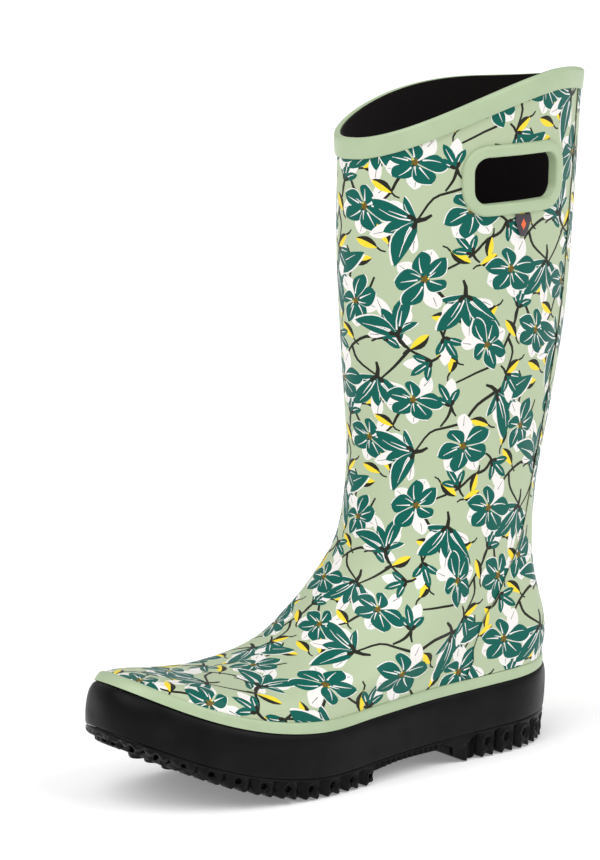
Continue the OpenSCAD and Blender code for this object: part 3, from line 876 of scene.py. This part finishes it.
INK = [rubber("print_" + name, colour, 0.36, 0.5, 700, 0.00002, Specular_IOR_Level=0.15)
       for name, colour in INKS.items()]
TRIM = rubber("trim_rubber", (173, 191, 155), 0.36, 0.5, 500, 0.00004, dust=(167, 185, 149))
SOLE = rubber("black_rubber", (3, 3, 4), 0.32, 0.52, 420, 0.0001, dust=(14, 14, 15),
              Specular_IOR_Level=0.12)
LABEL_DARK = rubber("label_dark", (58, 52, 60), 0.4, 0.55, 600, 0.00004)
LABEL_MARK = rubber("label_mark", (236, 104, 52), 0.35, 0.5, 600, 0.00003)
LINING = cloth("lining_cloth", (8, 3, 3), (15, 7, 7), 900, 0.0002, Sheen_Weight=0.05,
               Sheen_Roughness=0.5, Specular_IOR_Level=0.2)
NEOPRENE = cloth("neoprene", (64, 68, 72), (84, 88, 92), 1400, 0.0001)
COVER = cloth("footbed_cloth", (46, 44, 48), (74, 72, 78), 1100, 0.0002, Sheen_Weight=0.2)
FOAM = rubber("footbed_foam", (92, 96, 100), 0.75, 0.9, 1500, 0.0002, dust=(116, 120, 124))
SPONGE = rubber("sponge", (58, 58, 60), 0.8, 0.95, 1800, 0.0003, dust=(74, 74, 76))
STIFFENER = rubber("stiffener", (150, 140, 120), 0.6, 0.8, 1200, 0.0001, dust=(172, 162, 140))
BOARD = rubber("board", (186, 160, 120), 0.7, 0.9, 1600, 0.0001, dust=(160, 132, 96))
STEEL = rubber("steel", (176, 178, 182), 0.28, 0.45, 900, 0.00003, dust=(196, 198, 202), Metallic=1.0)

# ---- Pieces ----

# Rows of the CAD layers: the band's edge, the green strip's edge, the leg's top and the rim
ROW_BAND, ROW_RAND, ROW_LEG_END, ROW_RIM = 2, 3, 18, 19
CROWDING = 1.6  # the rows of a printed sheet crowd towards the foot


def row_level(row, a):
    """Height of a row of the CAD layers at an angle; rows between two may be asked for."""
    if row <= ROW_BAND:
        return sole_level(a) + BAND_HEIGHT * row / ROW_BAND
    if row <= ROW_RAND:
        return band_level(a) + RAND_HEIGHT * (row - ROW_BAND)
    if row <= ROW_LEG_END:
        return leg_level(a, (row - ROW_RAND) / (ROW_LEG_END - ROW_RAND))
    return rim_level(a) + BINDING_DEPTH * (row - ROW_RIM)


def make_upper():
    """The printed rubber from the sole to the rim, cut open down the back under the stay."""
    columns, rows = 121, 100
    a = np.repeat(np.linspace(-np.pi, np.pi, columns)[None], rows, 0)
    tuck, gap = 8.0, 0.2
    low, high = band_level(a) - tuck, rim_level(a) - gap
    z = low + (high - low) * np.linspace(0, 1, rows)[:, None] ** CROWDING
    holes = [slot_places(side, slot_outline(SLOT_LIP)) for side in (1, -1)]
    piece = printed_sheet("printed_upper", a, z, holes, start=(22, 8), outer=0.0, inner=-1.7)
    return dress(piece, "printed_rubber", "upper_shell")


def make_stay():
    """The back stay, printed like the leg but cut from another part of the sheet."""
    columns, rows = 61, 100
    gap_low, gap_high = 0.3, 0.4
    across = np.linspace(-1, 1, columns)[None]
    share = np.linspace(0, 1, rows)[:, None]
    a = np.pi + across * np.radians(60) + 0 * share
    for _ in range(6):
        z = band_level(a) + RAND_HEIGHT + gap_low
        z = z + (rim_level(a) - BINDING_DEPTH - gap_high - z) * share**CROWDING
        a = np.pi + across * np.radians(curve(STAY_SPREAD, z))
    piece = printed_sheet("printed_back_stay", a, z, [], start=(70, 40), outer=0.8, inner=0.12)
    return dress(piece, "printed_rubber", "back_stay")


def make_binding():
    """The rubber binding over the rim: a smooth outer side and a cap over the printed rubber's edge."""
    under, out, back = 0.12, 1.55, -1.78
    shoulder, rise, fall = -0.6, 2.2, 0.9
    places = [(-10.0, under), (-10.0, 0.9), (-9.75, 1.35), (-9.0, out), (-6.0, out + 0.2),
              (-3.0, out + 0.25), (shoulder, out + 0.2)]
    for t in np.linspace(0.2, 1, 6) * np.pi / 2:
        places.append((shoulder + rise * math.sin(t), out + 0.2 - 2.0 * (1 - math.cos(t))))
    for t in np.linspace(0.25, 1, 4) * np.pi / 2:
        places.append((shoulder + rise - fall * (1 - math.cos(t)), back + fall - fall * math.sin(t)))
    section = [(rim_level, *place) for place in places + [(LAYER_GAP, back), (LAYER_GAP, under)]]
    return dress(hoop("topline_binding_rolled", section, TRIM), "trim_rubber", "topline_binding")


def make_rand():
    """The plain green strip over the edge where the leg meets the sole."""
    section = [(band_level, extra, out) for extra, out in (
        (0.1, 0.12), (0.1, 1.6), (2.5, 1.6), (4.2, 1.5), (5.2, 1.3), (5.8, 0.9), (6.0, 0.45), (6.0, 0.12))]
    return dress(hoop("rand_moulded", section, TRIM, 260), "trim_rubber", "rand_strip")


def band_crown(a, height):
    """How far the band's face draws in at a height above its lower edge, most of all round the toe."""
    middle, reach = 9, 15
    return (0.4 + 1.1 * smooth(0.2, 0.9, np.cos(a))) * ((height - middle) / reach) ** 2


def make_band():
    """The smooth black band round the foot, with a rounded upper edge."""
    columns, back = 300, 0.3
    a = angles(columns)
    places = ((0.0, back), (0.0, 3.0), (0.2, 3.3), (0.7, 3.5), (2.0, 3.6), (5.0, 3.6), (8.0, 3.6),
              (11.0, 3.6), (14.0, 3.6), (17.0, 3.55), (19.5, 3.4), (21.5, 3.1), (22.8, 2.7), (23.6, 2.2),
              (24.0, 1.6), (24.0, back))
    section = [(sole_level, height, out - band_crown(a, height) * (out > back)) for height, out in places]
    piece = hoop("sidewall_band_moulded", section, SOLE, columns)
    return dress(piece, "black_rubber", "sidewall_band")


# The tread
SOLE_COLUMNS = 1008
SOLE_OUTLINE = 13.0  # the tread's outline is taken at this height
LUG_PITCH, LUG_DEPTH, LUG_RADIUS, RIB_PITCH = 14.5, 9.0, 5.2, 4.0
FULL_ZONE = 12.0  # lugs in a zone this high have their full detail
RING_SHARE, RING_RADIUS, RING_WIDTH, RING_HEIGHT, DIMPLE_DEPTH = 0.56, 4.3, 0.8, 0.75, 2.6
LUG_HALF, LUG_ARCH, LUG_GAP = 6.2, 2.0, 3.5  # half a lug's width, and the notches in and between lugs
RIB_DEPTH = 1.9
TOE_RISE, TOE_ROLL = 2.0, 5.0  # how far the tread's edge goes up and in at the tip of the toe
ROLL_START, ROLL_END = 225, 290
CLEAR = 0.03  # the least height of anything over the ground
HEEL_FRONT, HEEL_BREAST, BALL_BACK = 82.0, 102.0, 150.0
# Height of the zone of lugs and ribs below the smooth side, and how far it is set back, at each station
LUG_ZONE = [(0, 14.5), (74, 14.5), (90, 5), (140, 5), (160, 9.5), (240, 9), (293, 6.5)]
SET_BACK = [(0, 4.4), (74, 4.2), (90, 2.2), (140, 2.2), (160, 3.2), (240, 2.8), (293, 1.6)]


def sole_angles():
    """Angles evenly spaced along the sole's outline, the same on both sides of the foot."""
    a = np.linspace(0, np.pi, 2000)
    edge = (skin(a, SOLE_OUTLINE) + skin(-a, SOLE_OUTLINE) * np.array([-1, 1, 1])) / 2
    run = np.append(0, np.cumsum(np.linalg.norm(np.diff(edge, axis=0), axis=1)))
    half = np.interp(np.linspace(0, run[-1], SOLE_COLUMNS // 2 + 1), run, a)
    from_heel = run[-1] - np.interp(half, a, run)
    whole = np.concatenate([half, 2 * np.pi - half[1:-1][::-1]])
    return whole, np.concatenate([from_heel, from_heel[1:-1][::-1]])


def lug_places(run, s):
    """Each column's distance from the nearest lug's middle, and how strongly lugs and ribs show there."""
    beside = (run / LUG_PITCH % 1 - 0.5) * LUG_PITCH
    lugs = np.maximum(1 - smooth(HEEL_FRONT - 3, HEEL_FRONT - 1, s), smooth(BALL_BACK, BALL_BACK + 2, s))
    ribs = smooth(HEEL_BREAST - 4, HEEL_BREAST, s) * (1 - smooth(BALL_BACK - 6, BALL_BACK, s))
    return beside, lugs, ribs


def heel_bar(s):
    """How strongly the heel's plain front edge shows at each station; it slants up to the arch."""
    slant = np.clip((HEEL_BREAST - s) / (HEEL_BREAST - HEEL_FRONT), 0, 1) * (s > HEEL_FRONT)
    return np.maximum(slant, smooth(HEEL_FRONT - 7, HEEL_FRONT - 5, s) * (s <= HEEL_FRONT))


def lug_face(beside, h, ground, zone, set_back):
    """How far an edge lug's face stands out: a rounded column, a ring round a dimple, and flutes below."""
    ring_level = ground + zone * RING_SHARE
    away = np.sqrt(beside**2 + (h - ring_level) ** 2) / np.clip(zone / FULL_ZONE, 0.62, 1)
    column = (set_back - 0.7) * (1 - 0.85 * np.abs(beside / (LUG_PITCH / 2)) ** 5)
    ring = RING_HEIGHT * np.exp(-((away - RING_RADIUS) / RING_WIDTH) ** 2)
    dimple = DIMPLE_DEPTH * (1 - smooth(1.3, 2.4, away))
    flutes = 0.5 * np.cos(4 * np.pi * beside / LUG_PITCH) * (1 - smooth(3, 7, h - ground))
    return column + (ring - dimple) - flutes


def make_outsole():
    """The moulded tread: edge lugs, arch ribs, a slanted heel breast and round lugs underneath."""
    a, run = sole_angles()
    s = station(a, SOLE_OUTLINE)
    beside, lugs, ribs = lug_places(run, s)
    bar = heel_bar(s)
    top = sole_level(a) - LAYER_GAP
    root = root_level(a)
    ground = tread_rise(s) - spring(s)
    zone, set_back = curve(LUG_ZONE, s), curve(SET_BACK, s)
    notch = LUG_ARCH * np.abs(np.cos(2 * np.pi * beside / LUG_PITCH))
    notch = notch + LUG_GAP * smooth(LUG_HALF, LUG_HALF + 1, np.abs(beside))
    lug_bottom = np.minimum(root, ground + notch * np.clip(zone / FULL_ZONE, 0.3, 1))
    bottom = root + (lug_bottom - root) * lugs
    bottom = bottom + (ground - bottom) * bar
    zone_top = np.where(lugs + bar > 0.5, ground + zone, bottom + zone)
    face = BAND_THICK - 0.05 - band_crown(a, 0)
    roll = smooth(ROLL_START, ROLL_END, s)
    rows = []
    for share in np.linspace(0, 1, 25):
        h = bottom + (np.minimum(zone_top, top - 1.0) - bottom) * share
        h = h + TOE_RISE * roll * (1 - share) ** 2
        relief = lug_face(beside, h, ground, zone, set_back) * lugs * (1 - bar)
        rib = RIB_DEPTH * np.abs(np.cos(np.pi * run / RIB_PITCH))
        relief = relief + rib * ribs * smooth(0.02, 0.2, share)
        relief = relief + (set_back - 0.6) * np.minimum(bar, 1 - ribs * 0.4) * (1 - lugs)
        fade = 1 - smooth(0.88, 1.0, share)
        out = face - 0.05 + (relief - set_back) * fade
        rows.append((h, np.minimum(out, face) - TOE_ROLL * roll * (1 - share) ** 2))
    upper = rows[-1][0]
    for share in (0.5, 0.9, 1.0):
        rows.append((upper + (top - upper) * share, face - 0.07 - 0.45 * share**3))
    wall = np.stack([point(a, h, out) for h, out in rows])
    wall[:, :, 2] = np.maximum(wall[:, :, 2], CLEAR)
    under = tread(wall[0], s, bottom, root + (ground - root) * bar, ground)
    whole = np.concatenate([under, wall, to_midline(wall[-1], (0.5, 1.0))])
    slab = build("outsole_slab", whole, *lattice(whole), [SOLE], sharp=50, merge=0.01)
    pieces = [slab] + [round_lug(x, at) for x, at in middle_lugs()]
    return dress(joined(pieces, "outsole_tread"), "black_rubber", "outsole")


def tread(edge, s, bottom, inside, ground):
    """Rings under the sole from its edge in to the midline, listed from the midline out."""
    middle = (edge + np.roll(edge[::-1], 1, 0)) / 2
    half = np.maximum(np.linalg.norm((edge - middle)[:, :2], axis=1), 0.01)
    rows = []
    for inset in (0.6, 1.5, 4.0, 7.0, LUG_DEPTH - 0.8, LUG_DEPTH, LUG_DEPTH + 0.8):
        t = np.minimum(inset / half, 0.97)
        ring = edge + (middle - edge) * t[:, None]
        deep = smooth(LUG_DEPTH - 0.7, LUG_DEPTH + 0.7, inset)
        floor = bottom + (inside - bottom) * deep
        ring[:, 2] = np.maximum(floor - (0.25 if inset > 1 else 0), ground + CLEAR) + spring(s)
        rows.append(ring)
    last = rows[-1]
    for share in (0.3, 0.65, 1.0):
        ring = last + (middle - last) * share
        ring[:, 2] = np.maximum(inside, ground + CLEAR) + spring(s)
        rows.append(ring)
    return np.stack(rows[::-1])


def middle_lugs():
    """Places (x, station) of the round lugs: one row in the heel, two in the ball, one lug ahead."""
    return ([(0, s) for s in (14, 28, 43, 58)]
            + [(-3 + side * 8, s) for s in range(157, 256, 14) for side in (-1, 1)] + [(-6, 268)])


def round_lug(x, s):
    """A round lug with a groove and a dimple in its face."""
    top = float(curve(LUG_ROOT, s) + spring(s))
    ground = float(tread_rise(s))
    face, groove = ground + 0.05, ground + 1.3
    profile = ((top + 1.5, LUG_RADIUS + 0.2), (top, LUG_RADIUS + 0.2), (top - 0.6, LUG_RADIUS),
               (ground + 0.5, LUG_RADIUS - 0.4), (face, LUG_RADIUS - 0.8), (face, 3.8), (groove, 3.4),
               (groove, 2.7), (face, 2.3), (face, 1.3), (groove, 0.9), (groove, 0.05))
    turn = angles(28)
    points = np.stack([np.stack([x + radius * np.cos(turn), ORIGIN_Y - s + radius * np.sin(turn),
                                 z + 0 * turn], -1) for z, radius in profile[::-1]])
    return build("lug", points, *with_ends(points), [SOLE], sharp=50)


def joined(pieces, name):
    bpy.ops.object.select_all(action="DESELECT")
    for piece in pieces:
        piece.select_set(True)
    bpy.context.view_layer.objects.active = pieces[0]
    bpy.ops.object.join()
    pieces[0].name = name
    pieces[0].data.name = name
    return pieces[0]


def ring_piece(name, side, section, material):
    """A closed ring round a slot."""
    points = slot_ring(side, section)
    if side < 0:
        points = points[:, ::-1]
    return build(name, points, *lattice(points, closed_rows=True), [material], sharp=50)


def make_handle(side, name):
    """The moulded frame round a slot, with a lip through the leg, and the textile facing behind it."""
    lip = -LEG_INSIDE - 0.25
    section = [(0.7, lip), (0.05, lip), (0.0, lip + 0.4), (0.0, 0.8), (0.1, 1.5), (0.4, 2.05), (0.9, 2.4),
               (1.6, 2.52), (3.2, 2.55), (4.6, 2.5), (5.4, 2.3), (6.0, 1.85), (6.35, 1.2), (6.48, 0.6),
               (6.5, 0.1), (0.75, 0.1)]
    moulding = ring_piece("handle_frame_moulded_" + name, side, section[::-1], TRIM)
    dress(moulding, "trim_rubber", "handle_frame_" + name)
    depth = -LEG_INSIDE - 0.35
    section = [(0.05, depth), (6.2, depth), (6.5, depth - 0.3), (6.3, depth - 0.8), (5.6, depth - 0.9),
               (0.8, depth - 0.9), (0.2, depth - 0.75), (0.0, depth - 0.4)]
    facing = ring_piece("handle_facing_bound_" + name, side, section, LINING)
    dress(facing, "lining_textile", "handle_facing_" + name)


def make_label():
    """A plain dark tab under the outer handle, with a plain orange diamond on it."""
    width, drop, bevel = 11.0, 12.0, 0.06
    centre, across, out = on_side(math.radians(94.7), 300.0, 0.45)
    tab = [(-width / 2, 0), (-width / 2, -4), (-3.6, -8.5), (-1.5, -drop), (1.5, -drop), (3.6, -8.5),
           (width / 2, -4), (width / 2, 0)]
    mark = [(0, -2.2), (-1.9, -5.4), (0, -8.6), (1.9, -5.4)]
    pieces = []
    for name, outline, low, high, material in (("tab", tab, 0.0, 0.5, LABEL_DARK),
                                               ("mark", mark, 0.4, 0.6, LABEL_MARK)):
        outline = np.array(outline, float)
        middle = outline.mean(0)
        small = middle + (outline - middle) * (1 - bevel)
        rows = ((small, low), (outline, low), (outline, high - 0.15), (small, high))
        points = np.stack([centre + p[:, :1] * across + p[:, 1:] * np.array([0, 0, 1.0]) + d * out
                           for p, d in rows])
        pieces.append(build("label_" + name, points, *with_ends(points), [material], sharp=35))
    return dress(joined(pieces, "side_tab"), "label_rubber", "side_label")


LINING_THICK = 1.1


def lining_out(row):
    """How deep the lining's outer side lies below the printed surface at a row."""
    return float(np.interp(row, (9, 10, 11, 12), (-4.75, -3.85, -2.65, -1.95)))


def make_lining():
    """The textile lining: a bag with both handle slots cut through it."""
    a = angles(160)
    rows = np.linspace(1, ROW_RIM, 70)
    outside = [point(a, row_level(r, a), lining_out(r)) for r in rows]
    inside = [point(a, row_level(r, a), lining_out(r) - LINING_THICK) for r in rows[::-1]]
    fold = [point(a, rim_level(a) + rise, out) for rise, out in (
        (0.7, -1.95), (1.05, -2.1), (1.2, -2.5), (1.05, -2.9), (0.7, -LEG_INSIDE))]
    lift, depth = 6.15, -4.75
    under = point(a, sole_level(a) + lift, depth)
    floor = point(a, sole_level(a) + lift + LINING_THICK, depth - LINING_THICK)
    bag = np.stack([under, *outside, *fold, *inside, floor])
    piece = capped("textile_lining_bag", bag, LINING, sharp=60)
    for side in (1, -1):
        rows = slot_ring(side, [(SLOT_LIP, 4.0), (SLOT_LIP, -2.5), (SLOT_LIP, -9.0)])[::-side]
        cutter = build("cutter", rows, with_ends(rows)[0], None, [], sharp=0)
        cut = piece.modifiers.new("slot", "BOOLEAN")
        cut.object = cutter
        cut.solver = "EXACT"
        bpy.context.view_layer.objects.active = piece
        bpy.ops.object.modifier_apply(modifier="slot")
        bpy.data.objects.remove(cutter)
    return dress(piece, "lining_textile", "textile_lining")


def make_tape():
    """The tape over the lining's back seam."""
    half_angle, low_row, high_row = 6, 12, 17
    a = np.pi + np.radians(np.linspace(-half_angle, half_angle, 9))
    rows = np.linspace(low_row, high_row, 40)
    face, back = (np.stack([point(a, row_level(r, a), -LEG_INSIDE - deep) for r in rows])
                  for deep in (0.4, 0.9))
    loop = np.concatenate([face, back[:, ::-1]], 1)
    piece = build("lining_tape", loop, *with_ends(loop), [LINING], sharp=50)
    return dress(piece, "lining_textile", "lining_seam_tape")


def make_bootie():
    """The foam rubber bootie between the lining and the printed rubber."""
    a = angles(120)
    rows = np.linspace(1, 11, 40)
    outer = np.interp(rows, (9, 10, 11), (-2.9, -2.4, -1.95))
    inner = np.interp(rows, (9, 10, 11), (-4.6, -3.7, -2.5))
    outside = [point(a, row_level(r, a), out) for r, out in zip(rows, outer)]
    inside = [point(a, row_level(r, a), out) for r, out in zip(rows[::-1], inner[::-1])]
    under = point(a, sole_level(a) + 4.3, outer[0])
    floor = point(a, sole_level(a) + 6.0, inner[0])
    piece = capped("neoprene_bootie_foam", np.stack([under, *outside, *inside, floor]), NEOPRENE, sharp=60)
    return dress(piece, "foam_rubber", "neoprene_bootie", fill=0.9)


def make_footbed():
    """The removable footbed: foam with a raised heel cup and arch, and a stitched cloth cover."""
    a = angles(200)
    raised = 4.5 * (1 - smooth(110, 200, station(a, 30)))
    edge, face = -7.85, 12.15

    def ring(height, inset, share=0.0):
        at = point(a, sole_level(a) + height, edge - inset)
        middle = (at + np.roll(at[::-1], 1, 0)) / 2
        return at + (middle - at) * share

    def dish(lift, lip, slope):
        """Rings from near a face's raised edge down to its flat middle."""
        return [ring(face + raised * 0.8 + lift, lip, 0.02), ring(face + raised * 0.35 + lift, slope, 0.08),
                ring(face + lift, 5.0, 0.2), ring(face - 0.05 + lift, 5.0, 0.4)]

    foam = [ring(7.4, 1.2), ring(7.7, 0.3), ring(8.4, 0.0), ring(10.2 + raised * 0.5, 0.0),
            ring(11.6 + raised, 0.15), ring(12.1 + raised, 0.7), *dish(0.0, 1.6, 3.0)]
    piece = capped("footbed_foam_cupped", np.stack(foam), FOAM)
    dress(piece, "footbed_foam", "footbed", body="removable_footbed", fill=0.95)
    up, thick = 0.08, 0.95
    under = [ring(12.1 + raised + up, 0.7), *dish(up, 1.6, 3.0)]
    top = [ring(12.3 + raised + thick / 2, 0.45), ring(12.25 + raised + thick, 1.1), *dish(thick, 1.9, 3.2)]
    piece = capped("footbed_cover_stitched", np.stack(under[::-1] + top), COVER)
    dress(piece, "footbed_cloth", "footbed_cover", body="removable_footbed", fill=0.3)


for make in (make_upper, make_stay, make_binding, make_rand, make_band, make_outsole):
    make()
make_handle(1, "lateral")
make_handle(-1, "medial")
for make in (make_label, make_lining, make_tape, make_bootie, make_footbed):
    make()
for node, material in (("midsole_filler", SPONGE), ("shank", STEEL), ("lasting_board", BOARD),
                       ("toe_puff", STIFFENER), ("quarter_patch_lateral", STIFFENER),
                       ("quarter_patch_medial", STIFFENER), ("heel_counter", STIFFENER)):
    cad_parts[node].data.materials.clear()
    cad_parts[node].data.materials.append(material)

# ---- Camera, light and floor, in metres ----

AZIMUTH, ELEVATION, DISTANCE = 53, 9.5, 1.7
TARGET = Vector((0, 0.0025, 0.183))
ASIDE, ABOVE = -0.0243, 0.0011  # how far the view's middle lies from the target
SENSOR, FOCAL_LENGTH = 36, 131.86  # millimetres
FLOOR_HALF, FLOOR_DROP = 30.0, 0.0005
LAMP_DISTANCE = 3


def towards(azimuth, elevation):
    """The direction from the boot, in degrees: an azimuth of 0 is in front of its toe."""
    a, e = math.radians(azimuth), math.radians(elevation)
    return Vector((math.sin(a) * math.cos(e), -math.cos(a) * math.cos(e), math.sin(e)))


back = towards(AZIMUTH, ELEVATION)
right = towards(AZIMUTH + 90, 0)
lens = bpy.data.cameras.new("camera")
lens.sensor_fit = "VERTICAL"
lens.sensor_height = SENSOR
lens.lens = FOCAL_LENGTH
camera = placed("camera", lens)
camera.location = TARGET + DISTANCE * back + ASIDE * right + ABOVE * back.cross(right)
camera.rotation_euler = back.to_track_quat("Z", "Y").to_euler()
bpy.context.scene.camera = camera


def soft_sun(name, azimuth, elevation, spread, strength):
    """A wide, even light from one direction, in degrees."""
    data = bpy.data.lights.new(name, "SUN")
    data.angle = math.radians(spread)
    data.energy = strength
    lamp = placed(name, data)
    lamp.location = towards(azimuth, elevation) * LAMP_DISTANCE
    lamp.rotation_euler = towards(azimuth, elevation).to_track_quat("Z", "Y").to_euler()


def studio(lit, seen):
    """A white surround that lights the boot softly and shows as plain white behind it."""
    world = bpy.data.worlds.new("studio")
    world.use_nodes = True
    tree = world.node_tree
    background = tree.nodes["Background"]
    background.inputs["Color"].default_value = (1, 1, 1, 1)
    path = tree.nodes.new("ShaderNodeLightPath")
    strength = ranged(tree, path.outputs["Is Camera Ray"], lit, seen, 0, 1)
    tree.links.new(strength, background.inputs["Strength"])
    bpy.context.scene.world = world


soft_sun("key", azimuth=10, elevation=50, spread=50, strength=1.5)
soft_sun("side", azimuth=115, elevation=40, spread=40, strength=1.0)
studio(lit=0.5, seen=1.0)
bpy.context.scene.view_settings.view_transform = "Standard"

plane = bpy.data.meshes.new("floor")
corners = [(FLOOR_HALF * x, FLOOR_HALF * y, -FLOOR_DROP) for x, y in ((-1, -1), (1, -1), (1, 1), (-1, 1))]
plane.from_pydata(corners, [], [(0, 1, 2, 3)])
floor_material, _, _ = shader("floor_paper", (0.95, 0.95, 0.95), 0.9, Specular_IOR_Level=0.0,
                             Emission_Color=(1, 1, 1, 1), Emission_Strength=0.22)
plane.materials.append(floor_material)
placed("floor", plane)
